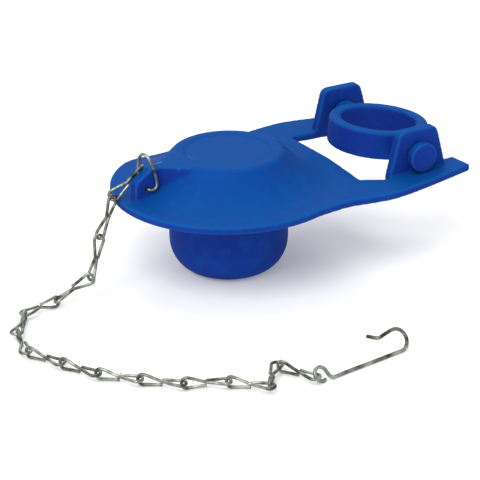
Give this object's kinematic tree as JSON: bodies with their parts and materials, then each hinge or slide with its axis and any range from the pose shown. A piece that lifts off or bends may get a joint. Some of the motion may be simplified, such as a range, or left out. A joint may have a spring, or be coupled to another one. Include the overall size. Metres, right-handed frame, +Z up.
{
  "type": "toilet flapper",
  "caption": "Rubber flush valve flap with a bulb, a dome and a fin, a collar that slides over the overflow tube, a wire clip, a jack chain and a hook.",
  "frame": {"origin": "centre of the collar, on the line of its two pins", "axes": "+X from the bulb towards the collar, +Z up out of the dome, +Y along the pins"},
  "size_m": [0.1774, 0.1369, 0.0502],
  "materials": {
    "rubber": "matt moulded blue rubber",
    "wire": "dull zinc plated steel wire"
  },
  "bodies": {
    "flapper_body": {"flapper_body": "rubber"},
    "overflow_collar": {"overflow_collar": "rubber"},
    "fin_clip": {"fin_clip": "wire"},
    "chain_link_01": {"chain_link_01": "wire"},
    "chain_link_02": {"chain_link_02": "wire"},
    "chain_link_03": {"chain_link_03": "wire"},
    "chain_link_04": {"chain_link_04": "wire"},
    "chain_link_05": {"chain_link_05": "wire"},
    "chain_link_06": {"chain_link_06": "wire"},
    "chain_link_07": {"chain_link_07": "wire"},
    "chain_link_08": {"chain_link_08": "wire"},
    "chain_link_09": {"chain_link_09": "wire"},
    "chain_link_10": {"chain_link_10": "wire"},
    "chain_link_11": {"chain_link_11": "wire"},
    "chain_link_12": {"chain_link_12": "wire"},
    "chain_link_13": {"chain_link_13": "wire"},
    "chain_link_14": {"chain_link_14": "wire"},
    "chain_link_15": {"chain_link_15": "wire"},
    "chain_hook": {"chain_hook": "wire"}
  },
  "joints": [
    {"name": "flapper_lift", "type": "hinge", "parent": "overflow_collar", "child": "flapper_body", "pos_m": [0, 0, 0], "axis": [0, 1, 0], "range_deg": [-15, 75]},
    {"name": "clip_swing", "type": "hinge", "parent": "flapper_body", "child": "fin_clip", "pos_m": [-0.0956, 0, -0.00185], "axis": [0, 1, 0], "range_deg": [-2, 4]},
    {"name": "link_01_swing", "type": "hinge", "parent": "fin_clip", "child": "chain_link_01", "pos_m": [-0.0962, 0.00315, 0.00365], "axis": [0, 0, 1], "range_deg": [-12, 4]},
    {"name": "link_02_swing", "type": "hinge", "parent": "chain_link_01", "child": "chain_link_02", "pos_m": [-0.10586, 0.00315, -0.00363], "axis": [0, 0, 1], "range_deg": [-6, 12]},
    {"name": "link_03_swing", "type": "hinge", "parent": "chain_link_02", "child": "chain_link_03", "pos_m": [-0.11308, 0.00038, -0.01554], "axis": [0, 0, 1], "range_deg": [-15, 15]},
    {"name": "link_04_swing", "type": "hinge", "parent": "chain_link_03", "child": "chain_link_04", "pos_m": [-0.11893, -0.00357, -0.02827], "axis": [0, 0, 1], "range_deg": [-15, 15]},
    {"name": "link_05_swing", "type": "hinge", "parent": "chain_link_04", "child": "chain_link_05", "pos_m": [-0.1301, -0.00057, -0.03604], "axis": [0, 0, 1], "range_deg": [-15, 15]},
    {"name": "link_06_swing", "type": "hinge", "parent": "chain_link_05", "child": "chain_link_06", "pos_m": [-0.14394, -0.00352, -0.0367], "axis": [0, 0, 1], "range_deg": [-20, 15]},
    {"name": "link_07_swing", "type": "hinge", "parent": "chain_link_06", "child": "chain_link_07", "pos_m": [-0.15238, -0.01512, -0.0367], "axis": [0, 0, 1], "range_deg": [-20, 15]},
    {"name": "link_08_swing", "type": "hinge", "parent": "chain_link_07", "child": "chain_link_08", "pos_m": [-0.15536, -0.02916, -0.0367], "axis": [0, 0, 1], "range_deg": [-20, 15]},
    {"name": "link_09_swing", "type": "hinge", "parent": "chain_link_08", "child": "chain_link_09", "pos_m": [-0.14907, -0.04206, -0.0367], "axis": [0, 0, 1], "range_deg": [-20, 15]},
    {"name": "link_10_swing", "type": "hinge", "parent": "chain_link_09", "child": "chain_link_10", "pos_m": [-0.14233, -0.05473, -0.0367], "axis": [0, 0, 1], "range_deg": [-20, 15]},
    {"name": "link_11_swing", "type": "hinge", "parent": "chain_link_10", "child": "chain_link_11", "pos_m": [-0.13236, -0.06505, -0.0367], "axis": [0, 0, 1], "range_deg": [-20, 15]},
    {"name": "link_12_swing", "type": "hinge", "parent": "chain_link_11", "child": "chain_link_12", "pos_m": [-0.1217, -0.07465, -0.0367], "axis": [0, 0, 1], "range_deg": [-20, 15]},
    {"name": "link_13_swing", "type": "hinge", "parent": "chain_link_12", "child": "chain_link_13", "pos_m": [-0.10869, -0.08072, -0.0367], "axis": [0, 0, 1], "range_deg": [-20, 15]},
    {"name": "link_14_swing", "type": "hinge", "parent": "chain_link_13", "child": "chain_link_14", "pos_m": [-0.0982, -0.09051, -0.0367], "axis": [0, 0, 1], "range_deg": [-20, 15]},
    {"name": "link_15_swing", "type": "hinge", "parent": "chain_link_14", "child": "chain_link_15", "pos_m": [-0.08897, -0.07951, -0.0367], "axis": [0, 0, 1], "range_deg": [-20, 15]},
    {"name": "hook_swing", "type": "hinge", "parent": "chain_link_15", "child": "chain_hook", "pos_m": [-0.08268, -0.09241, -0.0367], "axis": [0, 0, 1], "range_deg": [-40, 40]}
  ]
}
